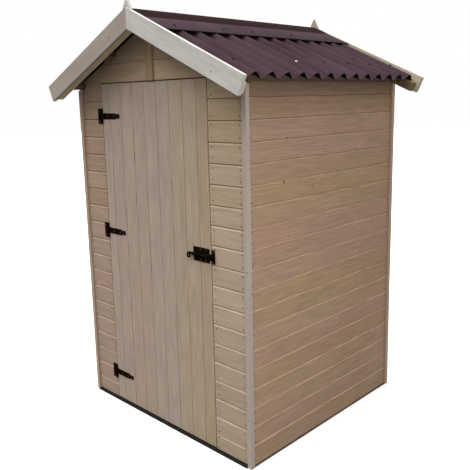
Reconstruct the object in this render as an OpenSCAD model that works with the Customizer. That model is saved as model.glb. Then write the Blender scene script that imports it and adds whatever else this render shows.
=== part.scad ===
// Small timber garden shed with a corrugated gable roof and a ledged door.
// Millimetres. The front faces -Y, +Z is up, and the origin is on the ground under the middle.

/* [Walls] */
// Width over the corner trims
wall_w = 1194; // [1100:2:1300]
// Depth over the corner trims
wall_d = 1150; // [1000:10:1400]
// Height of the side cladding at its outer face
side_wall_h = 1675; // [1600:5:1760]
// Cladding board thickness
clad_t = 15; // [12:1:20]
// Lower edge of the cladding above the ground
clad_bottom = 8; // [6:1:20]
// How far a corner trim stands in front of the cladding
trim_proud = 9; // [3:1:12]

/* [Frame] */
// Section of the posts, jambs, rails and plates
post_w = 40; // [30:1:50]
// Section of the floor sills
sill_w = 45; // [35:1:60]
// How far the foot of a sill stands out under the side and back cladding
sill_out = 6; // [2:1:8]
// How far the foot of the front sill stands out under the door
step_out = 16; // [4:1:30]
// Floor deck thickness
deck_t = 15; // [10:1:22]
// Width of the upright batten on the front gable
batten_w = 50; // [30:1:70]
// Thickness of the upright batten on the front gable
batten_t = 15; // [8:1:20]

/* [Doorway] */
// Front wall left of the opening, from the outside of the trim
strip_left = 196; // [150:1:230]
// Front wall right of the opening, from the outside of the trim
strip_right = 225; // [150:1:240]
// Top of the opening above the side wall height
doorway_rise = 30; // [10:1:40]
// Door stop projection into the opening
stop_w = 12; // [8:1:16]
// Door stop thickness
stop_t = 18; // [12:1:22]

/* [Door] */
// Running gap round the door leaf
door_gap = 5; // [5:0.5:7]
// Width of a ledge across the back of the door
ledge_w = 95; // [70:1:120]
// Thickness of a ledge
ledge_t = 22; // [15:1:28]
// Ledge end, set in from the edge of the door
ledge_inset = 45; // [30:1:80]
// Bottom hinge and ledge above the foot of the door
low_hinge_up = 148; // [110:1:200]
// Middle hinge and ledge, as a share of the door height
mid_hinge_share = 0.557; // [0.5:0.001:0.65]
// Top hinge and ledge below the top of the door
top_hinge_down = 158; // [110:1:200]

/* [Hinges] */
// Height of a hinge plate
plate_h = 76; // [60:1:100]
// Width of a hinge plate, up to the pin
plate_w = 37; // [25:1:45]
// Hinge sheet thickness
hinge_t = 3; // [2:0.5:4]
// Outer radius of a hinge knuckle
knuckle_r = 5; // [4.5:0.1:6]
// Hinge pin radius
pin_r = 2.5; // [2:0.1:3]
// Length of a hinge strap from the pin
strap_l = 143; // [100:1:160]
// Height of a strap at the pin
strap_h = 30; // [22:1:32]
// Height of a strap where its taper ends
strap_end_h = 28; // [18:1:30]
// Diameter of the round tip of a strap
strap_tip_d = 24; // [16:1:26]
// Height of the neck behind the tip
strap_neck_h = 18; // [12:1:20]
// Length of the neck behind the tip
strap_neck_l = 8; // [5:1:12]

/* [Bolt] */
// Height of the bolt, as a share of the door height
bolt_share = 0.545; // [0.5:0.005:0.6]
// Length of the bolt plate
bolt_plate_l = 103; // [85:1:115]
// Height of the bolt plate
bolt_plate_h = 65; // [52:1:76]
// Thickness of the bolt plate and keeper plate
bolt_plate_t = 2.5; // [2:0.5:4]
// Bolt plate edge, set in from the edge of the door
bolt_plate_inset = 8; // [5:1:14]
// Bolt bar radius
bar_r = 6; // [5:0.5:7]
// Travel of the bolt
bolt_travel = 24; // [20:1:28]
// Diameter of the lug at the end of the bolt
lug_d = 22; // [18:1:26]
// Centre of the lug below the bar
lug_drop = 12; // [9:1:14]
// Radius of the hole in the lug
lug_hole_r = 5; // [4:0.5:6]
// Thickness of the bolt lug
lug_t = 5; // [4:0.5:6]
// Wall of the loops round the bar
loop_t = 4; // [3:0.5:5]
// Width of a loop on the bolt plate
loop_w = 14; // [10:1:20]
// Outer loop, set in from the end of the bolt plate
loop_inset = 10; // [0:1:16]
// Width of the keeper
keeper_w = 20; // [15:1:26]
// Height of the keeper
keeper_h = 64; // [50:1:76]

/* [Roof] */
// Roof pitch in degrees
pitch = 24.5; // [20:0.5:28]
// Overhang of the roof over the front and back trims
gable_over = 97; // [60:1:110]
// Overhang of the sheets over the side cladding
eave_over = 64; // [50:1:110]
// Bargeboard width
barge_w = 83; // [80:1:110]
// Bargeboard thickness
barge_t = 18; // [14:1:24]
// Bargeboard end beyond the edge of the sheets
barge_beyond = 50; // [20:1:70]
// Sheet crests below the top edge of the bargeboards
crest_drop = 5; // [2:1:12]
// Length of one sheet wave
wave_l = 100; // [90:1:110]
// Crest nearest the middle of the sheet, from the middle
crest_y = 29; // [0:1:50]
// Height of the sheet from trough to crest
sheet_h = 33; // [28:1:38]
// Sheet thickness
sheet_t = 3; // [2.5:0.5:4]
// Purlin thickness
purlin_t = 28; // [22:1:34]
// Purlin width
purlin_w = 45; // [38:1:60]
// Rafter width behind a bargeboard
rafter_w = 34; // [16:1:50]
// Rafter end, short of the bargeboard end
rafter_short = 20; // [0:1:60]
// Ridge cap flange along the slope
cap_l = 262; // [200:1:300]
// Width of a finial at its foot
finial_w = 62; // [50:1:80]
// Height of a finial above the peak of the bargeboards
finial_h = 45; // [35:1:70]
// Finial face behind the face of the bargeboards
finial_set = 5; // [2:1:8]

/* [Hidden] */
round_fn = 48;
wave_steps = 12;
seat = 0.3;
pin_play = 0.1;
hinge_play = 0.8;
apart = 1;
bar_lift = 2;
tip_back = 2;
keeper_gap = 1;
keeper_play = 2.5;

trim_w = clad_t + trim_proud;
half_w = wall_w / 2;
half_d = wall_d / 2;
face_x = half_w - trim_proud;
face_y = half_d - trim_proud;
in_x = half_w - trim_w;
in_y = half_d - trim_w;
post_x = in_x - post_w;
post_y = in_y - post_w;

floor_edge_y = in_y - door_gap;
deck_top = sill_w + deck_t;
foot_h = clad_bottom - seat;
sill_back = in_y - sill_w;
sill_front = sill_w - floor_edge_y;
doorway_left = strip_left - half_w;
doorway_right = half_w - strip_right;
doorway_top = side_wall_h + doorway_rise;

leaf_left = doorway_left + door_gap;
leaf_right = doorway_right - door_gap;
leaf_bottom = clad_bottom + door_gap;
leaf_top = doorway_top - door_gap;
leaf_h = leaf_top - leaf_bottom;
low_hinge_z = leaf_bottom + low_hinge_up;
mid_hinge_z = leaf_bottom + mid_hinge_share * leaf_h;
top_hinge_z = leaf_top - top_hinge_down;
hinge_heights = [low_hinge_z, mid_hinge_z, top_hinge_z];
hinge_x = doorway_left + door_gap / 2;
hinge_y = -face_y - seat - knuckle_r;

bolt_z = leaf_bottom + bolt_share * leaf_h;
bar_y = -face_y - bolt_plate_t - bar_lift - bar_r;
keeper_r = bar_r + keeper_play;
keeper_x = doorway_right + keeper_gap;
plate_right = leaf_right - bolt_plate_inset;
plate_left = plate_right - bolt_plate_l;
bar_tip = leaf_right - tip_back;
lug_r = lug_d / 2;
lug_x = plate_left + loop_inset - apart - bolt_travel - lug_r;

eave_x = face_x + eave_over;
barge_y = half_d + gable_over;
sheet_drop = crest_drop + sheet_h;
purlin_drop = sheet_drop + seat;
wall_drop = purlin_drop + purlin_t;
peak_z = side_wall_h + face_x * tan(pitch) + wall_drop / cos(pitch);
sheet_end = eave_x / cos(pitch);
barge_end = sheet_end + barge_beyond;
sheet_start = purlin_w / 2 + seat;
sheet_y = barge_y - seat;
rafter_y = barge_y - rafter_w;
cap_t = sheet_t;
eave_purlin = face_x / cos(pitch) - purlin_w / 2;
mid_purlin = eave_purlin / 2;

// Height of the line a given distance off the slope, at x
function roof_z(x, off) = peak_z - abs(x) * tan(pitch) + off / cos(pitch);

// Point in the cross-section, down the right slope by run and off it by off
function roof_pt(run, off) = [
    run * cos(pitch) + off * sin(pitch),
    peak_z - run * sin(pitch) + off * cos(pitch)
];

// Outline of a board that lies down the right slope from a plumb cut at the ridge
function slope_board(run, top, bottom, gap = 0) = [
    [gap, roof_z(gap, top)],
    roof_pt(run, top),
    roof_pt(run, bottom),
    [gap, roof_z(gap, bottom)]
];

// Outline that follows both slopes from the ridge out to x
function ridge_band(x, top, bottom) = [
    [-x, roof_z(x, top)],
    [0, roof_z(0, top)],
    [x, roof_z(x, top)],
    [x, roof_z(x, bottom)],
    [0, roof_z(0, bottom)],
    [-x, roof_z(x, bottom)]
];

// Half width of the gable at height z, under the purlins
function gable_x(z) = (roof_z(0, -wall_drop) - z) / tan(pitch);

// Middle line of the sheet, measured from its trough
function wave(y) = (sheet_h - sheet_t) * (1 + cos(360 * (y - crest_y) / wave_l)) / 2;

// A cross-section drawn in X and Z, extruded from y0 to y1
module section(points, y0, y1) {
    translate([0, y1, 0])
        rotate([90, 0, 0])
            linear_extrude(y1 - y0)
                polygon(points);
}

// A box between two corners
module block(low, high) {
    translate(low)
        cube(high - low);
}

// The child and its copy on the other side of the middle
module both_sides() {
    children();
    mirror([1, 0, 0])
        children();
}

// Local X runs down the right slope from the peak and local Z stands off it
module on_slope() {
    translate([0, 0, peak_z])
        rotate([0, pitch, 0])
            children();
}

module wood(tone) {
    color(tone)
        children();
}

pine = [0.72, 0.64, 0.52];
pale_pine = [0.76, 0.72, 0.66];
dark_pine = [0.20, 0.16, 0.13];
bitumen = [0.28, 0.19, 0.22];
black_iron = [0.06, 0.05, 0.05];

module front_sill() {
    wood(dark_pine) {
        block([-in_x, -floor_edge_y, 0], [in_x, sill_front, sill_w]);
        block([-in_x, -face_y - step_out, 0], [in_x, sill_front, foot_h]);
    }
}

module back_sill() {
    wood(dark_pine) {
        block([-in_x, sill_back, 0], [in_x, in_y, sill_w]);
        block([-in_x, sill_back, 0], [in_x, face_y + sill_out, foot_h]);
    }
}

// A sill between the front and back ones, with a foot that runs on to the corner trims
module side_sills() {
    sill_x = in_x - sill_w;
    foot_x = face_x + sill_out;
    wood(dark_pine)
        both_sides() {
            block([sill_x, sill_front, 0], [in_x, sill_back, sill_w]);
            linear_extrude(foot_h)
                polygon([
                    [sill_x, sill_front],
                    [in_x, sill_front],
                    [in_x, -in_y],
                    [foot_x, -in_y],
                    [foot_x, in_y],
                    [in_x, in_y],
                    [in_x, sill_back],
                    [sill_x, sill_back]
                ]);
        }
}

module floor_deck() {
    wood(pine)
        block([-in_x, -floor_edge_y, sill_w], [in_x, in_y, deck_top]);
}

module right_wall_board() {
    section([
        [in_x, clad_bottom],
        [face_x, clad_bottom],
        [face_x, roof_z(face_x, -wall_drop)],
        [in_x, roof_z(in_x, -wall_drop)]
    ], -in_y, in_y);
}

module right_wall() {
    wood(pine)
        right_wall_board();
}

module left_wall() {
    wood(pine)
        mirror([1, 0, 0])
            right_wall_board();
}

module back_wall() {
    wood(pine)
        section([
            [-in_x, clad_bottom],
            [in_x, clad_bottom],
            [in_x, roof_z(in_x, -wall_drop)],
            [0, roof_z(0, -wall_drop)],
            [-in_x, roof_z(in_x, -wall_drop)]
        ], in_y, face_y);
}

// Boards on the right of the front, starting at x0 and cut under the purlins
module front_strip(x0) {
    section([
        [x0, clad_bottom],
        [in_x, clad_bottom],
        [in_x, roof_z(in_x, -wall_drop)],
        [gable_x(doorway_top), doorway_top],
        [x0, doorway_top]
    ], -face_y, -in_y);
}

module front_wall_right() {
    wood(pine)
        front_strip(doorway_right);
}

module front_wall_left() {
    wood(pine)
        mirror([1, 0, 0])
            front_strip(-doorway_left);
}

module front_gable() {
    wood(pine)
        section([
            [-gable_x(doorway_top), doorway_top],
            [gable_x(doorway_top), doorway_top],
            [0, roof_z(0, -wall_drop)]
        ], -face_y, -in_y);
}

module gable_batten() {
    half = batten_w / 2;
    wood(pale_pine)
        section([
            [-half, doorway_top],
            [half, doorway_top],
            [half, roof_z(half, -wall_drop)],
            [0, roof_z(0, -wall_drop)],
            [-half, roof_z(half, -wall_drop)]
        ], -face_y - batten_t, -face_y);
}

// Corner trim at the right, from y0 to y1
module corner_trim(y0, y1) {
    section([
        [in_x, 0],
        [half_w, 0],
        [half_w, roof_z(half_w, -wall_drop)],
        [in_x, roof_z(in_x, -wall_drop)]
    ], y0, y1);
}

module front_right_trim() {
    wood(pale_pine)
        corner_trim(-half_d, -in_y);
}

module front_left_trim() {
    wood(pale_pine)
        mirror([1, 0, 0])
            corner_trim(-half_d, -in_y);
}

module back_right_trim() {
    wood(pale_pine)
        corner_trim(in_y, half_d);
}

module back_left_trim() {
    wood(pale_pine)
        mirror([1, 0, 0])
            corner_trim(in_y, half_d);
}

plate_top = roof_z(in_x, -wall_drop) - seat;
post_top = plate_top - post_w;

module corner_posts() {
    wood(pine)
        both_sides() {
            block([post_x, -in_y, deck_top], [in_x, -post_y, post_top]);
            block([post_x, post_y, deck_top], [in_x, in_y, post_top]);
        }
}

module top_plates() {
    wood(pine)
        both_sides()
            block([post_x, -in_y, post_top], [in_x, in_y, plate_top]);
}

module door_jambs() {
    wood(pine) {
        block([doorway_left - post_w, -in_y, deck_top], [doorway_left, -post_y, doorway_top]);
        block([doorway_right, -in_y, deck_top], [doorway_right + post_w, -post_y, doorway_top]);
    }
}

module gable_rails() {
    rail_left = doorway_left - post_w;
    rail_right = doorway_right + post_w;
    rail_top = doorway_top + post_w;
    wood(pine) {
        block([rail_left, -in_y, doorway_top], [rail_right, -post_y, rail_top]);
        block([rail_left, post_y, doorway_top], [rail_right, in_y, rail_top]);
    }
}

module door_stops() {
    front = -floor_edge_y;
    back = front + stop_t;
    head_z = doorway_top - stop_w;
    wood(pine) {
        block([doorway_left, front, deck_top], [doorway_left + stop_w, back, head_z - apart]);
        block([doorway_right - stop_w, front, deck_top], [doorway_right, back, head_z - apart]);
        block([doorway_left, front, head_z], [doorway_right, back, doorway_top]);
    }
}

module ridge_purlin() {
    wood(pine)
        section(ridge_band(purlin_w / 2, -purlin_drop, -wall_drop), -rafter_y, rafter_y);
}

module purlins() {
    wood(pine)
        both_sides()
            on_slope()
                for (run = [mid_purlin, eave_purlin])
                    block([run, -rafter_y, -wall_drop], [run + purlin_w, rafter_y, -purlin_drop]);
}

module rafter_pair(y0, y1) {
    wood(pine)
        both_sides()
            section(slope_board(barge_end - rafter_short, -purlin_drop, -barge_w, apart / 2), y0, y1);
}

module front_rafters() {
    rafter_pair(-barge_y, -rafter_y);
}

module back_rafters() {
    rafter_pair(rafter_y, barge_y);
}

// One corrugated sheet on the right slope
module roof_sheet() {
    steps = ceil(2 * sheet_y / wave_l * wave_steps);
    at = [for (i = [0 : steps]) -sheet_y + 2 * sheet_y * i / steps];
    lower = [for (y = at) [wave(y), y]];
    upper = [for (i = [steps : -1 : 0]) [wave(at[i]) + sheet_t, at[i]]];
    on_slope()
        translate([sheet_end, 0, -sheet_drop])
            rotate([0, -90, 0])
                linear_extrude(sheet_end - sheet_start)
                    polygon(concat(lower, upper));
}

module right_roof_sheet() {
    color(bitumen)
        roof_sheet();
}

module left_roof_sheet() {
    color(bitumen)
        mirror([1, 0, 0])
            roof_sheet();
}

module ridge_cap() {
    cap_x = cap_l * cos(pitch);
    cap_low = seat - crest_drop;
    color(bitumen)
        section(ridge_band(cap_x, cap_low + cap_t, cap_low), -sheet_y, sheet_y);
}

module bargeboard(y0, y1) {
    section(slope_board(barge_end, 0, -barge_w), y0, y1);
}

module front_right_bargeboard() {
    wood(pale_pine)
        bargeboard(-barge_y - barge_t, -barge_y);
}

module front_left_bargeboard() {
    wood(pale_pine)
        mirror([1, 0, 0])
            bargeboard(-barge_y - barge_t, -barge_y);
}

module back_right_bargeboard() {
    wood(pale_pine)
        bargeboard(barge_y, barge_y + barge_t);
}

module back_left_bargeboard() {
    wood(pale_pine)
        mirror([1, 0, 0])
            bargeboard(barge_y, barge_y + barge_t);
}

// Pointed block that sits astride the top edges of the bargeboards
module finial(y0, y1) {
    foot_x = finial_w / 2;
    wood(pale_pine)
        section([
            [-foot_x, roof_z(foot_x, 0)],
            [0, peak_z],
            [foot_x, roof_z(foot_x, 0)],
            [0, peak_z + finial_h]
        ], y0, y1);
}

module front_finial() {
    finial(-barge_y - barge_t + finial_set, -barge_y);
}

module back_finial() {
    finial(barge_y, barge_y + barge_t - finial_set);
}

module door_leaf() {
    wood(pine)
        block([leaf_left, -face_y, leaf_bottom], [leaf_right, -in_y, leaf_top]);
}

module door_ledges() {
    half = ledge_w / 2;
    wood(pine)
        for (z = hinge_heights)
            block(
                [leaf_left + ledge_inset, -in_y, z - half],
                [leaf_right - ledge_inset, -in_y + ledge_t, z + half]
            );
}

// Upright cylinder on the hinge pin line
module on_pin(r, z0, z1) {
    translate([hinge_x, hinge_y, z0])
        cylinder(h = z1 - z0, r = r, $fn = round_fn);
}

// Fixed half of a T hinge, with the pin
module hinge_plate(z) {
    top = z + plate_h / 2;
    low = z - plate_h / 2;
    eye = strap_h / 2 + hinge_play;
    color(black_iron) {
        difference() {
            union() {
                block([hinge_x - plate_w, -face_y - hinge_t, low], [hinge_x, -face_y, top]);
                on_pin(knuckle_r, low, top);
            }
            on_pin(knuckle_r + hinge_play, z - eye, z + eye);
        }
        on_pin(pin_r, low, top);
    }
}

// Outline of a strap from the pin: a taper, a neck and a round tip
module strap_outline() {
    tip_r = strap_tip_d / 2;
    tip_x = strap_l - tip_r;
    end_x = tip_x - tip_r - strap_neck_l + apart;
    polygon([
        [0, -strap_h / 2],
        [end_x, -strap_end_h / 2],
        [end_x, strap_end_h / 2],
        [0, strap_h / 2]
    ]);
    translate([end_x - apart, -strap_neck_h / 2])
        square([tip_x - end_x + apart, strap_neck_h]);
    translate([tip_x, 0])
        circle(r = tip_r, $fn = round_fn);
}

// Moving half of a T hinge
module hinge_strap(z) {
    half = strap_h / 2;
    color(black_iron)
        difference() {
            union() {
                on_pin(knuckle_r, z - half, z + half);
                translate([hinge_x, -face_y, z])
                    rotate([90, 0, 0])
                        linear_extrude(hinge_t)
                            strap_outline();
            }
            on_pin(pin_r + pin_play, z - half - apart, z + half + apart);
        }
}

module top_hinge_plate() {
    hinge_plate(top_hinge_z);
}

module middle_hinge_plate() {
    hinge_plate(mid_hinge_z);
}

module bottom_hinge_plate() {
    hinge_plate(low_hinge_z);
}

module top_hinge_strap() {
    hinge_strap(top_hinge_z);
}

module middle_hinge_strap() {
    hinge_strap(mid_hinge_z);
}

module bottom_hinge_strap() {
    hinge_strap(low_hinge_z);
}

// Cylinder along the bolt line
module on_bolt(r, x0, x1) {
    translate([x0, bar_y, bolt_z])
        rotate([0, 90, 0])
            cylinder(h = x1 - x0, r = r, $fn = round_fn);
}

// Loop that holds the bar, closed down to the plate
module bar_loop(r, x0, x1) {
    on_bolt(r, x0, x1);
    block([x0, bar_y, bolt_z - r], [x1, -face_y - bolt_plate_t, bolt_z + r]);
}

module bolt_plate() {
    color(black_iron)
        difference() {
            union() {
                block(
                    [plate_left, -face_y - bolt_plate_t, bolt_z - bolt_plate_h / 2],
                    [plate_right, -face_y, bolt_z + bolt_plate_h / 2]
                );
                bar_loop(bar_r + loop_t, plate_left + loop_inset, plate_left + loop_inset + loop_w);
                bar_loop(bar_r + loop_t, plate_right - loop_w, plate_right);
            }
            on_bolt(bar_r + pin_play, plate_left - apart, plate_right + apart);
        }
}

module bolt_bar() {
    color(black_iron) {
        on_bolt(bar_r, lug_x, bar_tip);
        translate([lug_x, bar_y + lug_t / 2, bolt_z - lug_drop])
            rotate([90, 0, 0])
                linear_extrude(lug_t)
                    difference() {
                        circle(r = lug_r, $fn = round_fn);
                        circle(r = lug_hole_r, $fn = round_fn);
                    }
    }
}

module bolt_keeper() {
    front = -face_y - bolt_plate_t;
    hole = [bar_y - keeper_r, bolt_z - keeper_r, bolt_z + keeper_r];
    color(black_iron) {
        block(
            [keeper_x, front, bolt_z - keeper_h / 2],
            [keeper_x + keeper_w, -face_y, bolt_z + keeper_h / 2]
        );
        difference() {
            block(
                [keeper_x, hole[0] - loop_t, hole[1] - loop_t],
                [keeper_x + keeper_w, front, hole[2] + loop_t]
            );
            block(
                [keeper_x - apart, hole[0], hole[1]],
                [keeper_x + keeper_w + apart, front, hole[2]]
            );
        }
    }
}

front_sill();
back_sill();
side_sills();
floor_deck();
left_wall();
right_wall();
back_wall();
front_wall_left();
front_wall_right();
front_gable();
gable_batten();
front_left_trim();
front_right_trim();
back_left_trim();
back_right_trim();
corner_posts();
door_jambs();
door_stops();
gable_rails();
top_plates();
ridge_purlin();
purlins();
front_rafters();
back_rafters();
left_roof_sheet();
right_roof_sheet();
ridge_cap();
front_left_bargeboard();
front_right_bargeboard();
back_left_bargeboard();
back_right_bargeboard();
front_finial();
back_finial();
door_leaf();
door_ledges();
top_hinge_plate();
middle_hinge_plate();
bottom_hinge_plate();
top_hinge_strap();
middle_hinge_strap();
bottom_hinge_strap();
bolt_plate();
bolt_bar();
bolt_keeper();
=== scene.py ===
"""Wooden garden shed: boards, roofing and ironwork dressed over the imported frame."""

import math
import random

import bmesh
import bpy
from mathutils import Matrix, Vector


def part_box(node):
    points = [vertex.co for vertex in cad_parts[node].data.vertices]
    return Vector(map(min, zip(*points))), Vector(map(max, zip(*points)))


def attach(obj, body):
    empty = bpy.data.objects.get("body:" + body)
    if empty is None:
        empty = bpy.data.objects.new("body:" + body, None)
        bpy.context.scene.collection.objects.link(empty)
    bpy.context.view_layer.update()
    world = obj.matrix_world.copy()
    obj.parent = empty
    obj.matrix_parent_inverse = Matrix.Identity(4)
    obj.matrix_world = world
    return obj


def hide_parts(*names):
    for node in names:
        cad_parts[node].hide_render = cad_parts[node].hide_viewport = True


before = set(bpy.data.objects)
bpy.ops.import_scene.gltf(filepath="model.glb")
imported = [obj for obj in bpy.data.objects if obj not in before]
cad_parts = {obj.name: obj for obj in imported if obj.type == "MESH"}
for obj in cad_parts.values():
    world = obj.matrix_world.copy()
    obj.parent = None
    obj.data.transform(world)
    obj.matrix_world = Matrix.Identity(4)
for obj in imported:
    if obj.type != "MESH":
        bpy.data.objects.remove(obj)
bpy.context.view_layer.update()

SHED = "shed"
DOOR = "door"
BOLT = "bolt"
MM = 0.001
X = Vector((1, 0, 0))
Y = Vector((0, 1, 0))
Z = Vector((0, 0, 1))

# Camera, fitted to the edges and board joints of the photograph
IMAGE_W = 470
FOCAL_PX = 615.4
SENSOR_MM = 36.0
CAMERA_AT = (2.2675, -2.3822, 1.6093)
CAMERA_AZIMUTH = 45.06
CAMERA_PITCH = -10.76
CAMERA_ROLL = -1.41
PRINCIPAL_PX = (223.0, 216.8)

# Boards: where the joints fall, and each joint as the height and depth of its lower and upper chamfer
FRONT_JOINT_Z = 84 * MM
FRONT_PITCH = 90 * MM
SIDE_JOINT_Z = 101 * MM
SIDE_PITCH = 89.2 * MM
DOOR_FIRST_BOARD = 65 * MM
DOOR_PITCH = 90 * MM
DOOR_HINGE_REACH = 3 * MM
DECK_PITCH = 92 * MM
WALL_JOINT = (7 * MM, 6 * MM, 3.5 * MM, 7.5 * MM)
SIDE_JOINT = (5 * MM, 4.5 * MM, 2 * MM, 5.5 * MM)
DOOR_JOINT = (2 * MM, 3 * MM, 2 * MM, 5 * MM)
GABLE_JOINT = (2 * MM, 2 * MM, 1.2 * MM, 3 * MM)
DECK_JOINT = (1 * MM, 1 * MM, 1.5 * MM, 2 * MM)
SIDE_TUCK = 8 * MM

# Fixings
NAIL_R = 3.1 * MM
NAIL_RISE = 0.8 * MM
NAIL_EDGE = 19 * MM
SIDE_NAIL_EDGE = 11 * MM
NAIL_OFF_CENTRE = 26 * MM
NAIL_JITTER = 4 * MM
NAIL_BOARD_MIN = 60 * MM
ROOF_NAIL_R = 6.5 * MM
ROOF_NAIL_RISE = 4 * MM
SCREW_R = 3.4 * MM
SCREW_RISE = 1.2 * MM
KNOT_RISE = 0.15 * MM
SPLIT_W = 2 * MM
ROOF_NAIL_RUN = 588 * MM
CAP_NAIL_RUN = 205 * MM
FINIAL_NAIL_UP = 6 * MM
TRIM_NAIL_IN = 14 * MM
HINGE_T = 3 * MM
HINGE_SCREW_IN = 12 * MM
BOLT_PLATE_T = 2.5 * MM
BOLT_SCREW_LEFT = 45 * MM
BOLT_SCREW_RIGHT = 22 * MM
BOLT_SCREW_EDGE = 9 * MM
KEEPER_SCREW_EDGE = 8 * MM

# Roofing
PITCH = math.radians(24.5)
WAVE_L = 100 * MM
CREST_Y = 29 * MM
SHEET_T = 3 * MM
WAVE_STEPS = 24
SHEET_STEPS = 16
CAP_T = 3 * MM
CAP_FOLD = 116 * MM
CAP_BULGE = 3.5 * MM
CAP_STEPS = 8
CAP_LIP = 10 * MM
CAP_LIP_RISE = 1.2 * MM
CAP_SHADE_X = 105 * MM
CAP_SHADE_SOFT = 6 * MM
CAP_END_X = 238 * MM

# Timbers
GABLE_RISE = 24 * MM
PLANED = 1 * MM
BATTEN_PLANED = 5 * MM
EASED = 1.2 * MM
TRIM_EASED = 2 * MM
BARGE_EASED = 1.5 * MM
WELD_GAP = 0.01 * MM

# Stage
FLOOR_SIZE = 60
FLOOR_SHOWN = (0.97, 0.97, 0.97, 1)
GROUND = (0.15, 0.145, 0.14, 1)
SKY_LOW = 0.1
SKY_HIGH = 2.1
SUN_ENERGY = 2.15
SUN_WIDTH = 50
SUN_TRAVEL = (0.22, 0.5, -1.0)
LAMP_AT = (1.75, -0.9, 1.05)
LAMP_W = 1.0
LAMP_H = 1.4
LAMP_POWER = 9.0
LAMP_COLOR = (0.93, 0.98, 1.0)


def linear(r, g, b):
    """Linear colour from 0-255 display values."""
    def channel(value):
        c = value / 255
        return c / 12.92 if c <= 0.04045 else ((c + 0.055) / 1.055) ** 2.4
    return (channel(r), channel(g), channel(b), 1.0)


def tinted(color, r, g, b):
    """A linear colour with each channel scaled."""
    return (color[0] * r, color[1] * g, color[2] * b, 1.0)


# Near-black painted shade for roofing faces that look down
SHADED_UNDERSIDE = linear(8, 5, 5)

left_low, left_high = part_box("front_wall_left")
right_low, right_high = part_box("front_wall_right")
gable_low, gable_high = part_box("front_gable")
back_low, back_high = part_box("back_wall")
side_low, side_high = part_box("right_wall")
CLAD_T = right_high.y - right_low.y
WALL_PEAK = gable_high.z
SIDE_TOP = side_high.z - CLAD_T * math.tan(PITCH)


class Nodes:
    """Short way to add and join the shader nodes of one material."""

    def __init__(self, name):
        self.material = bpy.data.materials.new(name)
        self.material.use_nodes = True
        self.tree = self.material.node_tree
        self.shader = self.tree.nodes["Principled BSDF"]

    def add(self, kind, **settings):
        node = self.tree.nodes.new(kind)
        for key, value in settings.items():
            setattr(node, key, value)
        return node

    def feed(self, socket, value):
        """Set a socket to a constant, or join it to another socket."""
        if isinstance(value, bpy.types.NodeSocket):
            self.tree.links.new(value, socket)
        else:
            socket.default_value = value

    def noise(self, vector, scale, detail=3.0, roughness=0.55, distortion=0.0):
        node = self.add("ShaderNodeTexNoise")
        node.inputs["Scale"].default_value = scale
        node.inputs["Detail"].default_value = detail
        node.inputs["Roughness"].default_value = roughness
        node.inputs["Distortion"].default_value = distortion
        self.feed(node.inputs["Vector"], vector)
        return node.outputs["Fac"]

    def stretch(self, vector, scale):
        node = self.add("ShaderNodeVectorMath", operation="MULTIPLY")
        self.feed(node.inputs[0], vector)
        node.inputs[1].default_value = scale
        return node.outputs["Vector"]

    def ramp(self, factor, stops):
        node = self.add("ShaderNodeValToRGB")
        elements = node.color_ramp.elements
        while len(elements) < len(stops):
            elements.new(0.5)
        for element, (position, color) in zip(elements, stops):
            element.position = position
            element.color = color
        self.feed(node.inputs["Fac"], factor)
        return node.outputs["Color"]

    def span(self, value, low, high, to_low=0.0, to_high=1.0):
        node = self.add("ShaderNodeMapRange")
        self.feed(node.inputs["Value"], value)
        node.inputs["From Min"].default_value = low
        node.inputs["From Max"].default_value = high
        node.inputs["To Min"].default_value = to_low
        node.inputs["To Max"].default_value = to_high
        return node.outputs["Result"]

    def math(self, operation, a, b):
        node = self.add("ShaderNodeMath", operation=operation)
        self.feed(node.inputs[0], a)
        self.feed(node.inputs[1], b)
        return node.outputs["Value"]

    def mix(self, factor, a, b):
        node = self.add("ShaderNodeMix", data_type="RGBA")
        self.feed(node.inputs[0], factor)
        self.feed(node.inputs[6], a)
        self.feed(node.inputs[7], b)
        return node.outputs[2]

    def shade(self, color, factor):
        """Scale a colour by a number."""
        node = self.add("ShaderNodeVectorMath", operation="SCALE")
        self.feed(node.inputs[0], color)
        self.feed(node.inputs["Scale"], factor)
        return node.outputs["Vector"]

    def upward(self):
        """How far a face looks up, from -1 to 1."""
        axes = self.add("ShaderNodeSeparateXYZ")
        self.feed(axes.inputs[0], self.add("ShaderNodeNewGeometry").outputs["Normal"])
        return axes.outputs["Z"]

    def below_roof(self):
        """Height from a point up to the line of the wall tops."""
        axes = self.add("ShaderNodeSeparateXYZ")
        self.feed(axes.inputs[0], self.add("ShaderNodeTexCoord").outputs["Object"])
        aside = self.math("MULTIPLY", self.math("ABSOLUTE", axes.outputs["X"], 0.0), math.tan(PITCH))
        return self.math("SUBTRACT", WALL_PEAK, self.math("ADD", axes.outputs["Z"], aside))

    def attribute(self, name):
        return self.add("ShaderNodeAttribute", attribute_name=name)

    def bump(self, height, strength, distance):
        node = self.add("ShaderNodeBump")
        node.inputs["Strength"].default_value = strength
        node.inputs["Distance"].default_value = distance
        self.feed(node.inputs["Height"], height)
        self.feed(self.shader.inputs["Normal"], node.outputs["Normal"])

    def finish(self, color, roughness, specular):
        self.feed(self.shader.inputs["Base Color"], color)
        self.feed(self.shader.inputs["Roughness"], roughness)
        self.shader.inputs["Specular IOR Level"].default_value = specular
        return self.material


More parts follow.
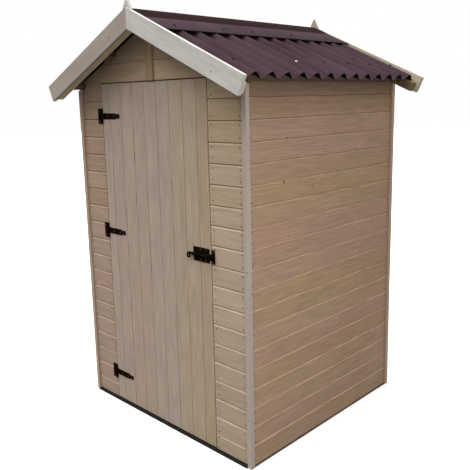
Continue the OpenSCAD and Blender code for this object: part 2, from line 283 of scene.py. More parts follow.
def wood_material(
        name, base, board=0.04, streak=0.06, fibre=0.14, patch=0.08, hue=0.6,
        top_highlight=0.2, roof_shade=0.0, reach=0.1):
    """Softwood: 'grain' runs along each board, and 'tone' holds its brightness, pinkness and yellowness.

    Faces that look up get a painted highlight in places, and faces that look down get painted shade.
    Painted shade darkens the wood close under the roof, as far down as its reach.
    """
    n = Nodes(name)
    grain = n.attribute("grain").outputs["Vector"]
    tone = n.add("ShaderNodeSeparateColor")
    n.feed(tone.inputs["Color"], n.attribute("tone").outputs["Color"])
    base = linear(*base)

    streaks = n.noise(n.stretch(grain, (2.5, 26, 26)), 1.7, 4, 0.65, 0.8)
    fibres = n.noise(n.stretch(grain, (5, 90, 90)), 1.5, 5, 0.75)
    patches = n.noise(n.stretch(grain, (2, 12, 12)), 1.8, 4, 0.6, 0.4)
    tints = n.noise(n.stretch(grain, (1.2, 9, 9)), 1.3, 2, 0.5)

    pink = n.math("MULTIPLY", tone.outputs["Green"], n.span(tints, 0.35, 0.65, hue, 0.65 * hue))
    yellow = n.math("MULTIPLY", tone.outputs["Blue"], n.span(tints, 0.35, 0.65, 0.5 * hue, hue))
    color = n.mix(pink, base, tinted(base, 1.04, 0.93, 0.92))
    color = n.mix(yellow, color, tinted(base, 1.01, 0.97, 0.78))

    shade = n.span(tone.outputs["Red"], 0, 1, 1 - board, 1 + board)
    shade = n.math("MULTIPLY", shade, n.span(streaks, 0.28, 0.72, 1 + streak, 1 - streak))
    shade = n.math("MULTIPLY", shade, n.span(fibres, 0.28, 0.72, 1 + fibre, 1 - fibre))
    shade = n.math("MULTIPLY", shade, n.span(patches, 0.3, 0.7, 1 + patch, 1 - patch))
    # Painted highlight: faces that look up are paler in patches
    places = n.noise(n.stretch(grain, (9, 0.5, 0.5)), 1.0, 2)
    skyward = n.span(n.upward(), 0.3, 0.6)
    pale = n.math("MULTIPLY", skyward, n.span(places, 0.35, 0.6, 0.4 * top_highlight, top_highlight))
    shade = n.math("MULTIPLY", shade, n.math("ADD", pale, 1.0))
    # Painted shade: faces that look down are darker
    shade = n.math("MULTIPLY", shade, n.span(n.upward(), -0.9, -0.3, 0.7, 1.0))
    # Painted shade under the roof, fading out over its reach
    if roof_shade:
        shade = n.math("MULTIPLY", shade, n.span(n.below_roof(), 0, reach, 1 - roof_shade, 1))
    n.bump(fibres, 0.2, 0.0006)
    return n.finish(n.shade(color, shade), n.span(fibres, 0.3, 0.7, 0.66, 0.86), 0.2)


def bitumen_material(name, base, dust, ridge=None):
    """Fibrous bitumen sheet, streaked down the slope and faintly dusty, darker along the ridge if told."""
    n = Nodes(name)
    place = n.add("ShaderNodeTexCoord").outputs["Object"]
    fibres = n.noise(n.stretch(place, (45, 130, 45)), 2.2, 5, 0.7)
    runs = n.noise(n.stretch(place, (1.5, 22, 1.5)), 1.6, 3, 0.6)
    patches = n.noise(place, 5, 3, 0.6)
    level = n.math("MULTIPLY", fibres, 0.45)
    level = n.math("ADD", level, n.math("MULTIPLY", runs, 0.3))
    level = n.math("ADD", level, n.math("MULTIPLY", patches, 0.25))
    color = n.ramp(level, [(0.36, linear(*base)), (0.64, linear(*dust))])
    # Painted shade: faces of the sheet that look down turn near black
    color = n.mix(n.span(n.upward(), -0.2, 0.2), SHADED_UNDERSIDE, color)
    if ridge:
        axes = n.add("ShaderNodeSeparateXYZ")
        n.feed(axes.inputs[0], place)
        away = n.math("ABSOLUTE", axes.outputs["X"], 0.0)
        flange = n.span(away, CAP_SHADE_X - CAP_SHADE_SOFT, CAP_SHADE_X + CAP_SHADE_SOFT)
        deep = linear(*ridge)
        roll = n.ramp(level, [(0.36, tinted(deep, 0.8, 0.8, 0.8)), (0.64, tinted(deep, 1.25, 1.2, 1.2))])
        color = n.shade(color, n.span(away, CAP_SHADE_X, CAP_END_X, 1.2, 0.75))
        color = n.mix(flange, roll, color)
    n.bump(fibres, 0.4, 0.0012)
    return n.finish(color, n.span(fibres, 0.3, 0.7, 0.74, 0.92), 0.05)


def mottled_material(name, base, worn, rough_low, rough_high, specular=0.3):
    """Two colours mottled together, for iron, nail heads and knots."""
    n = Nodes(name)
    place = n.add("ShaderNodeTexCoord").outputs["Object"]
    wear = n.noise(place, 90, 4, 0.6)
    color = n.ramp(wear, [(0.45, linear(*base)), (0.75, linear(*worn))])
    n.bump(wear, 0.15, 0.0004)
    return n.finish(color, n.span(wear, 0.3, 0.7, rough_low, rough_high), specular)


class Finish:
    """What a piece is made of and which body it rides on; the slot is kept but not used."""

    def __init__(self, material, slot, body=SHED):
        self.material = material
        self.slot = slot
        self.body = body

    def apply(self, obj, nodes=()):
        obj.data.materials.clear()
        obj.data.materials.append(self.material)
        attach(obj, self.body)
        if nodes:
            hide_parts(*nodes)


class Shape:
    """A mesh under construction, with grain coordinates and a tone for each board."""

    def __init__(self):
        self.points = []
        self.faces = []
        self.grain = []
        self.tones = []

    def prism(self, axes, origin, profile, low, high, rng, tone=None):
        """A profile in (across, out), run along the first axis from low(across) to high(across)."""
        along, across, out = axes
        shift = Vector((rng.uniform(0, 40), rng.uniform(0, 40), rng.uniform(0, 40)))
        tone = tone or board_tone(rng)
        first = len(self.points)
        for reach in (low, high):
            for a, o in profile:
                run = reach(a)
                self.points.append(origin + along * run + across * a + out * o)
                self.grain.append(shift + Vector((run, a, o)))
                self.tones.append(tone)
        count = len(profile)
        self.faces.append([first + i for i in range(count)])
        self.faces.append([first + count + i for i in reversed(range(count))])
        for i in range(count):
            j = (i + 1) % count
            self.faces.append([first + i, first + count + i, first + count + j, first + j])

    def dome(self, centre, normal, radius, rise, sides=12, squash=1.0):
        """A low round head on a surface."""
        normal = Vector(normal).normalized()
        up = Z if abs(normal.z) < 0.9 else X
        u = up.cross(normal).normalized()
        v = normal.cross(u)
        first = len(self.points)
        for scale, lift in ((1.0, 0.0), (0.85, 0.7), (0.45, 1.0)):
            for i in range(sides):
                turn = 2 * math.pi * i / sides
                ring = (u * math.cos(turn) + v * math.sin(turn) * squash) * radius * scale
                self.points.append(Vector(centre) + ring + normal * rise * lift)
        for ring in range(2):
            for i in range(sides):
                j = (i + 1) % sides
                a = first + ring * sides
                self.faces.append([a + i, a + j, a + sides + j, a + sides + i])
        self.faces.append([first + 2 * sides + i for i in range(sides)])
        self.faces.append([first + i for i in reversed(range(sides))])

    def build(self, name, finish, nodes=(), split=None):
        """The finished object; split is the angle in degrees above which its smooth faces part."""
        mesh = bpy.data.meshes.new(name)
        mesh.from_pydata([tuple(p) for p in self.points], [], self.faces)
        if self.grain:
            write_attributes(mesh, self.grain, self.tones)
        turn_outward(mesh)
        obj = bpy.data.objects.new(name, mesh)
        bpy.context.scene.collection.objects.link(obj)
        if split:
            for polygon in mesh.polygons:
                polygon.use_smooth = True
            edges = obj.modifiers.new("edges", "EDGE_SPLIT")
            edges.split_angle = math.radians(split)
        finish.apply(obj, nodes)


def board_tone(rng):
    """Brightness, pinkness and yellowness of one board."""
    return (rng.random(), rng.random() ** 2, rng.random() ** 2, 1.0)


def write_attributes(mesh, grain, tones):
    """Store the grain coordinate and the tone of every point."""
    places = mesh.attributes.new("grain", "FLOAT_VECTOR", "POINT")
    places.data.foreach_set("vector", [c for point in grain for c in point])
    colors = mesh.attributes.new("tone", "FLOAT_COLOR", "POINT")
    colors.data.foreach_set("color", [c for tone in tones for c in tone])


def turn_outward(mesh):
    """Turn every face outward."""
    work = bmesh.new()
    work.from_mesh(mesh)
    bmesh.ops.recalc_face_normals(work, faces=work.faces)
    work.to_mesh(mesh)
    work.free()


def constant(value):
    return lambda across: value


def board_profile(low, high, depth, joint):
    """Board between two edges, its face at out = 0: its high edge is the lower side of a joint."""
    lower_h, lower_d, upper_h, upper_d = joint
    return [
        (low, -depth),
        (high, -depth),
        (high, -lower_d),
        (high - lower_h, 0),
        (low + upper_h, 0),
        (low, -upper_d),
    ]


def joints_between(low, high, first, pitch):
    """Board edges from low to high, with joints at first and every pitch from it."""
    start = math.ceil((low - first) / pitch + 1e-6)
    stop = math.floor((high - first) / pitch - 1e-6)
    return [low] + [first + pitch * i for i in range(start, stop + 1)] + [high]


class Wall:
    """A flat run of boards: its directions along, across and out, a point on its face and its depth."""

    def __init__(self, along, across, out, origin, depth):
        self.axes = (along, across, out)
        self.origin = origin
        self.depth = depth

    def place(self, run, height):
        return self.origin + self.axes[0] * run + self.axes[1] * height

    def boards(self, name, node, edges, start, end, joint, finish, seed, tones=None):
        """Boards between neighbouring edges, from start(height) to end(height)."""
        rng = random.Random(seed)
        shape = Shape()
        for index, (low, high) in enumerate(zip(edges, edges[1:])):
            profile = board_profile(low, high, self.depth, joint)
            tone = tones[index % len(tones)] if tones else None
            shape.prism(self.axes, self.origin, profile, start, end, rng, tone)
        shape.build(name, finish, [node])

    def nails(self, edges, start, end, inset, seed):
        """Two nails at each end of every full board."""
        rng = random.Random(seed)
        places = []
        for low, high in zip(edges, edges[1:]):
            if high - low < NAIL_BOARD_MIN:
                continue
            for off in (-NAIL_OFF_CENTRE, NAIL_OFF_CENTRE):
                height = (low + high) / 2 + off + rng.uniform(-NAIL_JITTER, NAIL_JITTER)
                for run in (start(height) + inset, end(height) - inset):
                    run += rng.uniform(-NAIL_JITTER, NAIL_JITTER) / 2
                    places.append((self.place(run, height), self.axes[2]))
        return places


def heads(name, places, radius, rise, finish, squash=1.0):
    """One object with a round head at every place."""
    shape = Shape()
    for centre, normal in places:
        shape.dome(centre, normal, radius, rise, squash=squash)
    shape.build(name, finish, split=60)


def dressed(node, along, finish, seed, bevel=EASED, tone=None, planed=0.0):
    """A CAD timber with eased arrises and its grain along one direction, its front planed if told."""
    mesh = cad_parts[node].data.copy()
    front = min(v.co.y for v in mesh.vertices) + planed
    for vertex in mesh.vertices:
        vertex.co.y = max(vertex.co.y, front)
    rng = random.Random(seed)
    shift = Vector((rng.uniform(0, 40), rng.uniform(0, 40), rng.uniform(0, 40)))
    along = Vector(along).normalized()
    across = along.orthogonal().normalized()
    out = along.cross(across)
    places = [shift + Vector((v.co.dot(along), v.co.dot(across), v.co.dot(out))) for v in mesh.vertices]
    write_attributes(mesh, places, [tone or board_tone(rng)] * len(places))
    mesh.name = "dressed_" + node
    obj = bpy.data.objects.new("dressed_" + node, mesh)
    bpy.context.scene.collection.objects.link(obj)
    weld = obj.modifiers.new("weld", "WELD")
    weld.merge_threshold = WELD_GAP
    ease = obj.modifiers.new("ease", "BEVEL")
    ease.width = bevel
    ease.segments = 2
    ease.limit_method = "ANGLE"
    finish.apply(obj, [node])


# Board tones: brightness, pinkness, yellowness
PLAIN = (0.5, 0.0, 0.0, 1.0)
PINK = (0.5, 0.9, 0.1, 1.0)
TAN = (0.55, 0.15, 0.6, 1.0)
OLIVE = (0.5, 0.0, 1.0, 1.0)
RUST = (0.42, 0.7, 0.8, 1.0)
SHADED = (0.0, 0.9, 1.0, 1.0)
ROSE = (0.55, 0.35, 0.0, 1.0)
STRAW = (0.55, 0.0, 0.6, 1.0)
RED = (0.1, 1.0, 1.0, 1.0)
DULL = (0.1, 0.0, 0.0, 1.0)
FAIR = (0.95, 0.0, 0.05, 1.0)
GOLD = (0.6, 0.3, 1.0, 1.0)
BROWN = (0.3, 0.4, 0.9, 1.0)
SHADED_UMBER = (0.05, 0.6, 0.6, 1.0)

# Front boards from the sill up
FRONT_TONES = [
    DULL, PLAIN, DULL, DULL, PLAIN, DULL, PLAIN, FAIR, FAIR, PLAIN,
    FAIR, FAIR, PLAIN, STRAW, FAIR, STRAW, GOLD, BROWN, GOLD, BROWN]

# The upper left front boards are darkest: painted shade under the left eave
LEFT_TONES = [
    PLAIN, ROSE, PLAIN, PLAIN, ROSE, PLAIN, PLAIN, ROSE, PLAIN, PLAIN,
    ROSE, STRAW, SHADED_UMBER, STRAW, SHADED_UMBER, SHADED_UMBER, SHADED_UMBER, SHADED_UMBER, SHADED_UMBER, SHADED_UMBER]

# Finishes
# Every wood finish carries a painted highlight on faces that look up and painted shade on faces that look
# down
front_pine = Finish(
    wood_material("front boards", (158, 141, 121), 0.06, hue=0.8, top_highlight=0.28),
    "pine_boards")
# Left front boards: pinker, and darker than the right ones as painted shade under the left eave
left_pine = Finish(
    wood_material("left front boards", (151, 131, 115), 0.1, hue=1.0, top_highlight=0.28),
    "pine_boards")
# Gable boards with painted shade under the roof
gable_pine = Finish(
    wood_material("gable boards", (158, 136, 112), 0.03, hue=0.3, top_highlight=0.1, roof_shade=0.28, reach=0.16),
    "pine_boards")
# Side boards with painted shade under the eave and a strong painted highlight on faces that look up
side_pine = Finish(
    wood_material("side boards", (149, 125, 106), 0.15, 0.08, 0.2, 0.05, 1.0, 0.6, 0.42, 0.17),
    "pine_boards")
door_pine = Finish(
    wood_material("door boards", (155, 140, 126), 0.04, 0.07, 0.2, 0.06, 0.9),
    "door_boards", DOOR)
trim_pine = Finish(wood_material("near trim", (158, 145, 134), 0.02, 0.04, 0.08, 0.03, 0.2), "pale_trim")
brown_trim = Finish(wood_material("other trims", (160, 138, 119), 0.02, 0.05, 0.08, 0.05, 0.3), "pale_trim")
pale_barge = Finish(
    wood_material("right bargeboards", (182, 178, 172), 0.02, 0.06, 0.15, 0.07, 0.2, 0.5),
    "pale_trim")
tan_barge = Finish(
    wood_material("back bargeboards", (169, 157, 140), 0.02, 0.06, 0.15, 0.07, 0.3),
    "pale_trim")
brown_barge = Finish(
    wood_material("left bargeboards", (153, 141, 130), 0.02, 0.05, 0.14, 0.06, 0.5),
    "pale_trim")
frame_pine = Finish(wood_material("frame timber", (150, 128, 102)), "pine_boards")
rafter_pine = Finish(wood_material("front rafters", (188, 168, 138)), "pine_boards")
shaded_pine = Finish(wood_material("back rafters", (114, 96, 70)), "pine_boards")
# Purlins near black: painted shade under the eaves
shaded_purlin_pine = Finish(wood_material("purlins", (74, 56, 43)), "pine_boards")
batten_pine = Finish(wood_material("gable batten", (140, 116, 90), hue=0.3), "pale_trim")
# Front sill near black: painted shadow under the front wall
shadow_sill = Finish(wood_material("front sill", (20, 15, 13)), "sill_timber")
worn_sill = Finish(wood_material("other sills", (74, 65, 59)), "sill_timber")
knot_wood = Finish(mottled_material("knots", (104, 74, 52), (122, 92, 68), 0.7, 0.85, 0.1), "pine_boards")
split_wood = Finish(
    mottled_material("door splits", (84, 70, 60), (104, 90, 78), 0.8, 0.9, 0.0),
    "door_boards", DOOR)
sheet = Finish(bitumen_material("bitumen sheet", (49, 34, 40), (75, 57, 64)), "bitumen_sheet")
cap = Finish(bitumen_material("ridge cap", (48, 34, 40), (74, 57, 65), (37, 16, 18)), "bitumen_sheet")
iron_shed = Finish(mottled_material("black iron", (15, 9, 7), (34, 23, 19), 0.7, 0.85, 0.0), "black_iron")
iron_door = Finish(iron_shed.material, "black_iron", DOOR)
iron_bolt = Finish(iron_shed.material, "black_iron", BOLT)
nail_material = mottled_material("nail heads", (48, 36, 28), (72, 56, 44), 0.6, 0.8, 0.1)
nail_shed = Finish(nail_material, "black_iron")
nail_door = Finish(nail_material, "black_iron", DOOR)
screw_material = mottled_material("screw heads", (36, 31, 30), (74, 67, 63), 0.5, 0.7)
screw_shed = Finish(screw_material, "black_iron")
screw_door = Finish(screw_material, "black_iron", DOOR)
white_nail = Finish(
    mottled_material("bright nail cap", (190, 186, 182), (215, 212, 208), 0.5, 0.7),
    "bitumen_sheet")
roof_nail = Finish(
    mottled_material("roof nail caps", (22, 15, 17), (42, 32, 36), 0.6, 0.8, 0.1),
    "bitumen_sheet")


# Walls
def slope_x(height):
    """Half width of the gable at a height."""
    return (WALL_PEAK - height) / math.tan(PITCH)


front_wall = Wall(X, Z, -Y, Vector((0, right_low.y, 0)), CLAD_T)
back_wall = Wall(X, Z, Y, Vector((0, back_high.y, 0)), CLAD_T)
right_wall = Wall(Y, Z, X, Vector((side_high.x, 0, 0)), CLAD_T)
left_wall = Wall(Y, Z, -X, Vector((-side_high.x, 0, 0)), CLAD_T)


def front_boards():
    """Boards beside and above the door."""
    edges = joints_between(left_low.z, left_high.z, FRONT_JOINT_Z, FRONT_PITCH)

    def left_start(z):
        return max(left_low.x, -slope_x(z))

    def right_end(z):
        return min(right_high.x, slope_x(z))

    left_end = constant(left_high.x)
    right_start = constant(right_low.x)
    front_wall.boards(
        "left_boards_front", "front_wall_left", edges, left_start, left_end,
        WALL_JOINT, left_pine, 11, LEFT_TONES)
    front_wall.boards(
        "right_boards_front", "front_wall_right", edges, right_start, right_end,
        WALL_JOINT, front_pine, 12, FRONT_TONES)
    gable_edges = joints_between(gable_low.z, gable_high.z, FRONT_JOINT_Z, FRONT_PITCH)

    def gable_end(z):
        return slope_x(z - GABLE_RISE)

    def gable_start(z):
        return -gable_end(z)

    front_wall.boards(
        "gable_boards", "front_gable", gable_edges, gable_start, gable_end,
        GABLE_JOINT, gable_pine, 13)
    places = front_wall.nails(edges, left_start, left_end, NAIL_EDGE, 21)
    return places + front_wall.nails(edges, right_start, right_end, NAIL_EDGE, 22)


def other_boards():
    """Boards of the sides and back."""
    edges = joints_between(side_low.z, SIDE_TOP + SIDE_TUCK, SIDE_JOINT_Z, SIDE_PITCH)
    start = constant(side_low.y)
    end = constant(side_high.y)
    tones = [
        TAN, TAN, PINK, TAN, TAN, RUST, PINK, TAN, OLIVE, OLIVE,
        PINK, PINK, PINK, OLIVE, OLIVE, RUST, PINK, PINK, RUST, SHADED]
    right_wall.boards("right_boards", "right_wall", edges, start, end, SIDE_JOINT, side_pine, 15, tones)
    left_wall.boards("left_boards", "left_wall", edges, start, end, SIDE_JOINT, side_pine, 16)
    places = right_wall.nails(edges, start, end, SIDE_NAIL_EDGE, 25)
    places += left_wall.nails(edges, start, end, SIDE_NAIL_EDGE, 26)

    def back_start(z):
        return max(back_low.x, -slope_x(z))

    def back_end(z):
        return min(back_high.x, slope_x(z))

    back_edges = joints_between(back_low.z, back_high.z, FRONT_JOINT_Z, FRONT_PITCH)
    back_wall.boards(
        "back_boards", "back_wall", back_edges, back_start, back_end,
        WALL_JOINT, front_pine, 14)
    full_edges = [edge for edge in back_edges if edge < SIDE_TOP]
    return places + back_wall.nails(full_edges, back_start, back_end, NAIL_EDGE, 24)


def side_knots():
    """Knots where the photograph shows them on the right wall, as place along, height and radius in mm."""
    spots = (
        (-307, 1444, 6), (-329, 1254, 7), (77, 1262, 6),
        (-121, 1211, 5), (-25, 1365, 4), (238, 1357, 5))
    for index, (along, height, radius) in enumerate(spots):
        place = right_wall.place(along * MM, height * MM)
        heads("knot_%d" % index, [(place, X)], radius * MM, KNOT_RISE, knot_wood, squash=0.7)


wall_nails = front_boards() + other_boards()
heads("wall_nails", wall_nails, NAIL_R, NAIL_RISE, nail_shed)

# Floor
deck_low, deck_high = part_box("floor_deck")
deck = Wall(Y, X, Z, Vector((0, 0, deck_high.z)), deck_high.z - deck_low.z)
deck.boards(
    "deck_boards", "floor_deck", joints_between(deck_low.x, deck_high.x, deck_low.x, DECK_PITCH),
    constant(deck_low.y), constant(deck_high.y), DECK_JOINT, frame_pine, 17)

# Door
leaf_low, leaf_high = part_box("door_leaf")
leaf = Wall(Z, X, -Y, Vector((0, leaf_low.y, 0)), leaf_high.y - leaf_low.y)


def door():
    """Upright boards, the one at the closing edge reddest, the ledges behind them and a few nails."""
    edges = joints_between(leaf_low.x, leaf_high.x, leaf_low.x + DOOR_FIRST_BOARD, DOOR_PITCH)
    tones = [PLAIN, ROSE, ROSE, ROSE, PLAIN, PLAIN, STRAW, TAN, RED]
    edges[0] -= DOOR_HINGE_REACH
    leaf.boards(
        "door_boards", "door_leaf", edges, constant(leaf_low.z), constant(leaf_high.z),
        DOOR_JOINT, door_pine, 18, tones)
    dressed("door_ledges", X, door_pine, 19)
    spots = ((-89, 1553), (-86, 1031), (-111, 45))
    places = [(Vector((x * MM, leaf_low.y, z * MM)), -Y) for x, z in spots]
    heads("door_nails", places, NAIL_R, NAIL_RISE, nail_door)


def door_splits():
    """Dark openings in the joints of the door, as joint, lower end and upper end in mm."""
    spots = (
        (0, 1017, 1102), (0, 1246, 1308), (2, 1109, 1170), (2, 1308, 1376),
        (3, 782, 839), (3, 1128, 1187), (5, 1211, 1258))
    for index, (joint, low, high) in enumerate(spots):
        x = leaf_low.x + DOOR_FIRST_BOARD + DOOR_PITCH * joint
        place = leaf.place((low + high) / 2 * MM, x)
        half = (high - low) / 2 * MM
        stretch = half / SPLIT_W
        heads("door_split_%d" % index, [(place, -Y)], SPLIT_W, KNOT_RISE, split_wood, stretch)


door()
door_splits()

# Plain timbers
slope_right = Vector((math.cos(PITCH), 0, -math.sin(PITCH)))
slope_left = Vector((-math.cos(PITCH), 0, -math.sin(PITCH)))
slope_up = Vector((math.sin(PITCH), 0, math.cos(PITCH)))


def outer_timbers():
    """Trims, batten, bargeboards and finials."""
    dressed("front_right_trim", Z, trim_pine, 30, TRIM_EASED, PLAIN)
    for seed, node in enumerate(("front_left_trim", "back_left_trim", "back_right_trim")):
        dressed(node, Z, brown_trim, 31 + seed, TRIM_EASED, PLAIN)
    dressed("gable_batten", Z, batten_pine, 40, tone=PLAIN, planed=BATTEN_PLANED)
    dressed("front_left_bargeboard", slope_left, brown_barge, 50, BARGE_EASED, PLAIN, PLANED)
    dressed("front_right_bargeboard", slope_right, pale_barge, 51, BARGE_EASED, PLAIN, PLANED)
    dressed("back_left_bargeboard", slope_left, tan_barge, 52, BARGE_EASED, PLAIN)
    dressed("back_right_bargeboard", slope_right, tan_barge, 53, BARGE_EASED, PLAIN)
    dressed("front_finial", Z, pale_barge, 60, tone=PLAIN)
    dressed("back_finial", Z, tan_barge, 61, tone=PLAIN)


def frame_timbers():
    """Posts, rails, purlins and sills."""
    timbers = (
        ("corner_posts", Z), ("door_jambs", Z), ("door_stops", Z), ("gable_rails", X), ("top_plates", Y))
    for seed, (node, along) in enumerate(timbers):
        dressed(node, along, frame_pine, 70 + seed)
    for seed, node in enumerate(("ridge_purlin", "purlins")):
        dressed(node, Y, shaded_purlin_pine, 80 + seed)
    dressed("front_rafters", slope_right, rafter_pine, 85)
    dressed("back_rafters", slope_right, shaded_pine, 86)
    dressed("front_sill", X, shadow_sill, 90)
    dressed("back_sill", X, worn_sill, 91)
    dressed("side_sills", Y, worn_sill, 92)


outer_timbers()
frame_timbers()
side_knots()

# Roof
sheet_low, sheet_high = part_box("right_roof_sheet")
PEAK = Vector((0, 0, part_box("front_right_bargeboard")[1].z))


def off_slope(node):
    """Least and greatest distance of a node off the bargeboards' top edges, and down the slope."""
    points = [v.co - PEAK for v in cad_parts[node].data.vertices]
    heights = [p.dot(slope_up) for p in points if p.x >= 0]
    runs = [p.dot(slope_right) for p in points if p.x >= 0]
    return min(heights), max(heights), min(runs), max(runs)


def roof_point(run, y, off, side=1):
    """Point down a slope from the peak by run, and off it by off."""
    p = PEAK + slope_right * run + slope_up * off
    return Vector((p.x * side, y, p.z))


SHEET_LOW, SHEET_TOP, SHEET_START, SHEET_END = off_slope("right_roof_sheet")
CAP_TOP = off_slope("ridge_cap")[1]
CAP_END = off_slope("ridge_cap")[3]
WAVE_H = SHEET_TOP - SHEET_LOW - SHEET_T


def wave(y):
    """Height of the sheet's underside above its troughs."""
    return WAVE_H * (1 + math.cos(2 * math.pi * (y - CREST_Y) / WAVE_L)) / 2


def corrugated(name, node, side):
    """A closed corrugated sheet with a fine wave."""
    shape = Shape()
    columns = round((sheet_high.y - sheet_low.y) / WAVE_L * WAVE_STEPS)
    rows = SHEET_STEPS
    for lift in (0, SHEET_T):
        for r in range(rows + 1):
            run = SHEET_START + (SHEET_END - SHEET_START) * r / rows
            for c in range(columns + 1):
                y = sheet_low.y + (sheet_high.y - sheet_low.y) * c / columns
                shape.points.append(roof_point(run, y, SHEET_LOW + wave(y) + lift, side))
    wide = columns + 1
    top = (rows + 1) * wide
    for r in range(rows):
        for c in range(columns):
            a = r * wide + c
            shape.faces.append([a, a + 1, a + wide + 1, a + wide])
            shape.faces.append([top + a, top + a + wide, top + a + wide + 1, top + a + 1])
    for c in range(columns):
        for a in (c, rows * wide + c):
            shape.faces.append([a, a + 1, top + a + 1, top + a])
    for r in range(rows):
        for a in (r * wide, r * wide + columns):
            shape.faces.append([a, a + wide, top + a + wide, top + a])
    shape.build(name, sheet, [node], split=60)


def cap_top_line():
    """Upper outline of one half of the ridge cap as (run, off): a low roll, a flat flange and a lip."""
    line = []
    for i in range(CAP_STEPS + 1):
        share = i / CAP_STEPS
        line.append((CAP_FOLD * share, CAP_TOP + CAP_BULGE * math.sin(math.pi * share)))
    line.append((CAP_END - CAP_LIP, CAP_TOP))
    line.append((CAP_END, CAP_TOP + CAP_LIP_RISE))
    return line


def ridge_cap():
    """The ridge cap, one bent sheet over both slopes."""
    shape = Shape()
    half = cap_top_line()
    runs = [(-1, run, off) for run, off in reversed(half[1:])]
    runs += [(1, run, off) for run, off in half]
    for y in (sheet_low.y, sheet_high.y):
        for drop in (0, CAP_T):
            for side, run, off in runs:
                point = roof_point(run, y, off, side)
                shape.points.append(point - Z * drop)
    count = len(runs)
    for i in range(count - 1):
        for a, b in ((0, 2 * count), (count, 3 * count)):
            shape.faces.append([a + i, a + i + 1, b + i + 1, b + i])
        for a in (0, 2 * count):
            shape.faces.append([a + i, a + i + 1, a + count + i + 1, a + count + i])
    for i in (0, count - 1):
        shape.faces.append([i, count + i, 3 * count + i, 2 * count + i])
    shape.build("ridge_cap_roll", cap, ["ridge_cap"], split=25)


def roof_nails():
    """Capped nails on some crests, through the sheets and through the cap, one of them white."""
    places = []
    for side in (1, -1):
        normal = Vector((slope_up.x * side, 0, slope_up.z))
        for crest in (-6, 0, 2, 4, 6):
            y = CREST_Y + crest * WAVE_L
            places.append((roof_point(ROOF_NAIL_RUN, y, SHEET_TOP, side), normal))
        for crest in (-6, -3, -1, 2, 5):
            y = CREST_Y + crest * WAVE_L
            places.append((roof_point(CAP_NAIL_RUN, y, CAP_TOP, side), normal))
    heads("roof_nails", places, ROOF_NAIL_R, ROOF_NAIL_RISE, roof_nail)
    bright = [(roof_point(ROOF_NAIL_RUN, CREST_Y - 2 * WAVE_L, SHEET_TOP), slope_up)]
    heads("bright_roof_nail", bright, ROOF_NAIL_R, ROOF_NAIL_RISE, white_nail)


corrugated("right_sheet", "right_roof_sheet", 1)
corrugated("left_sheet", "left_roof_sheet", -1)
ridge_cap()
roof_nails()

# Ironwork
HINGES = ("top_hinge", "middle_hinge", "bottom_hinge")


def recolor(node, finish):
    """Give a CAD node the material of a finish."""
    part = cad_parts[node]
    part.data.materials.clear()
    part.data.materials.append(finish.material)


def hinge_screws():
    """Screw heads on the plates and straps."""
    fixed = []
    moving = []
    for hinge in HINGES:
        plate_low, plate_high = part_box(hinge + "_plate")
        strap_low, strap_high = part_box(hinge + "_strap")
        face = leaf_low.y - HINGE_T
        x = plate_low.x + HINGE_SCREW_IN
        middle = (plate_low.z + plate_high.z) / 2
        for z in (plate_low.z + HINGE_SCREW_IN, plate_high.z - HINGE_SCREW_IN):
            fixed.append((Vector((x, face, z)), -Y))
        for share in (0.35, 0.7, 0.92):
            run = strap_low.x + (strap_high.x - strap_low.x) * share
            moving.append((Vector((run, face, middle)), -Y))
    heads("hinge_plate_screws", fixed, SCREW_R, SCREW_RISE, screw_shed)
    heads("hinge_strap_screws", moving, SCREW_R, SCREW_RISE, screw_door)


def bolt_screws():
    """Screw heads on the bolt plate and the keeper."""
    low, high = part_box("bolt_plate")
    face = leaf_low.y - BOLT_PLATE_T
    places = []
    for x in (low.x + BOLT_SCREW_LEFT, high.x - BOLT_SCREW_RIGHT):
        for z in (low.z + BOLT_SCREW_EDGE, high.z - BOLT_SCREW_EDGE):
            places.append((Vector((x, face, z)), -Y))
    heads("bolt_plate_screws", places, SCREW_R, SCREW_RISE, screw_door)
    low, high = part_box("bolt_keeper")
    x = (low.x + high.x) / 2
    levels = (low.z + KEEPER_SCREW_EDGE, high.z - KEEPER_SCREW_EDGE)
    places = [(Vector((x, face, z)), -Y) for z in levels]
    heads("keeper_screws", places, SCREW_R, SCREW_RISE, screw_shed)


for hinge in HINGES:
    recolor(hinge + "_plate", iron_shed)
    recolor(hinge + "_strap", iron_door)
recolor("bolt_plate", iron_door)
recolor("bolt_bar", iron_bolt)
recolor("bolt_keeper", iron_shed)
hinge_screws()
bolt_screws()


def trim_nails():
    """Single nails on the bargeboards, finial and near trim."""
    barge_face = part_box("front_right_bargeboard")[0].y + PLANED
    finial_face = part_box("front_finial")[0].y
    trim_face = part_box("front_right_trim")[0].y
    trim_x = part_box("front_right_trim")[0].x
    spots = [
        (521 * MM, barge_face, 1717 * MM),
        (-136 * MM, barge_face, 1898 * MM),
        (-521 * MM, barge_face, 1717 * MM),
        (0, finial_face, PEAK.z + FINIAL_NAIL_UP),
        (trim_x + TRIM_NAIL_IN, trim_face, 901 * MM)]
    heads("trim_nails", [(Vector(spot), -Y) for spot in spots], NAIL_R, NAIL_RISE, nail_shed)


trim_nails()


# Stage
def seen_directly(tree):
    """1 for rays from the camera, or through a reflection or glass, and 0 for light on its way."""
    paths = tree.nodes.new("ShaderNodeLightPath")
    either = tree.nodes.new("ShaderNodeMath")
    either.operation = "MAXIMUM"
    tree.links.new(paths.outputs["Is Camera Ray"], either.inputs[0])
    tree.links.new(paths.outputs["Is Glossy Ray"], either.inputs[1])
    every = tree.nodes.new("ShaderNodeMath")
    every.operation = "MAXIMUM"
    tree.links.new(either.outputs[0], every.inputs[0])
    tree.links.new(paths.outputs["Is Transmission Ray"], every.inputs[1])
    return every.outputs[0]


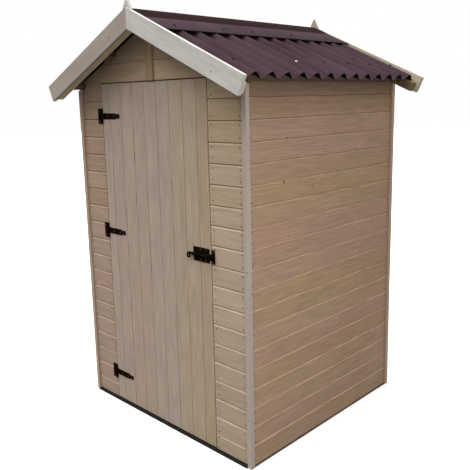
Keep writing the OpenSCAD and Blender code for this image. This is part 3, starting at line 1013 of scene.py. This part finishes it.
def white_floor():
    """Floor that looks white, keeps the shadow and sends back light like plain ground."""
    bpy.ops.mesh.primitive_plane_add(size=FLOOR_SIZE, location=(0, 0, 0))
    floor = bpy.context.object
    floor.name = "floor"
    material = bpy.data.materials.new("white floor")
    material.use_nodes = True
    tree = material.node_tree
    tree.nodes.clear()
    shown = tree.nodes.new("ShaderNodeBsdfDiffuse")
    shown.inputs["Color"].default_value = FLOOR_SHOWN
    ground = tree.nodes.new("ShaderNodeBsdfDiffuse")
    ground.inputs["Color"].default_value = GROUND
    blend = tree.nodes.new("ShaderNodeMixShader")
    tree.links.new(seen_directly(tree), blend.inputs[0])
    tree.links.new(ground.outputs[0], blend.inputs[1])
    tree.links.new(shown.outputs[0], blend.inputs[2])
    output = tree.nodes.new("ShaderNodeOutputMaterial")
    tree.links.new(blend.outputs[0], output.inputs["Surface"])
    floor.data.materials.append(material)


def sky():
    """Cloudy sky, brightest overhead, that looks white."""
    world = bpy.data.worlds.new("cloudy sky")
    bpy.context.scene.world = world
    world.use_nodes = True
    tree = world.node_tree
    light = tree.nodes["Background"]
    light.inputs["Color"].default_value = (1, 1, 1, 1)
    place = tree.nodes.new("ShaderNodeTexCoord")
    height = tree.nodes.new("ShaderNodeSeparateXYZ")
    tree.links.new(place.outputs["Generated"], height.inputs[0])
    level = tree.nodes.new("ShaderNodeMapRange")
    level.inputs["From Min"].default_value = 0.0
    level.inputs["From Max"].default_value = 1.0
    level.inputs["To Min"].default_value = SKY_LOW
    level.inputs["To Max"].default_value = SKY_HIGH
    tree.links.new(height.outputs["Z"], level.inputs["Value"])
    tree.links.new(level.outputs["Result"], light.inputs["Strength"])
    shown = tree.nodes.new("ShaderNodeBackground")
    shown.inputs["Color"].default_value = (1, 1, 1, 1)
    shown.inputs["Strength"].default_value = 1.0
    blend = tree.nodes.new("ShaderNodeMixShader")
    tree.links.new(seen_directly(tree), blend.inputs[0])
    tree.links.new(light.outputs[0], blend.inputs[1])
    tree.links.new(shown.outputs[0], blend.inputs[2])
    tree.links.new(blend.outputs[0], tree.nodes["World Output"].inputs[0])


def soft_sun():
    """Wide light from high on the front left."""
    data = bpy.data.lights.new("soft sun", "SUN")
    data.energy = SUN_ENERGY
    data.angle = math.radians(SUN_WIDTH)
    sun = bpy.data.objects.new("soft sun", data)
    bpy.context.scene.collection.objects.link(sun)
    sun.rotation_euler = Vector(SUN_TRAVEL).to_track_quat("-Z", "Y").to_euler()


def side_lamp():
    """Soft lamp beside the near corner, which lights the right wall and fades along it."""
    data = bpy.data.lights.new("side lamp", "AREA")
    data.shape = "RECTANGLE"
    data.size = LAMP_W
    data.size_y = LAMP_H
    data.energy = LAMP_POWER
    data.color = LAMP_COLOR
    lamp = bpy.data.objects.new("side lamp", data)
    bpy.context.scene.collection.objects.link(lamp)
    lamp.location = LAMP_AT
    lamp.rotation_euler = Vector((-1, 0, 0)).to_track_quat("-Z", "Y").to_euler()
    lamp.visible_camera = False


def photo_camera():
    """Camera of the photograph."""
    data = bpy.data.cameras.new("photo camera")
    data.sensor_width = SENSOR_MM
    data.sensor_fit = "HORIZONTAL"
    data.lens = FOCAL_PX * SENSOR_MM / IMAGE_W
    data.shift_x = (IMAGE_W / 2 - PRINCIPAL_PX[0]) / IMAGE_W
    data.shift_y = (PRINCIPAL_PX[1] - IMAGE_W / 2) / IMAGE_W
    camera = bpy.data.objects.new("photo camera", data)
    bpy.context.scene.collection.objects.link(camera)
    turn = Matrix.Rotation(math.radians(CAMERA_AZIMUTH), 4, "Z")
    tilt = Matrix.Rotation(math.radians(90 + CAMERA_PITCH), 4, "X")
    roll = Matrix.Rotation(math.radians(CAMERA_ROLL), 4, "Z")
    camera.matrix_world = Matrix.Translation(CAMERA_AT) @ turn @ tilt @ roll
    bpy.context.scene.camera = camera


white_floor()
sky()
soft_sun()
side_lamp()
photo_camera()
bpy.context.scene.view_settings.view_transform = "Standard"
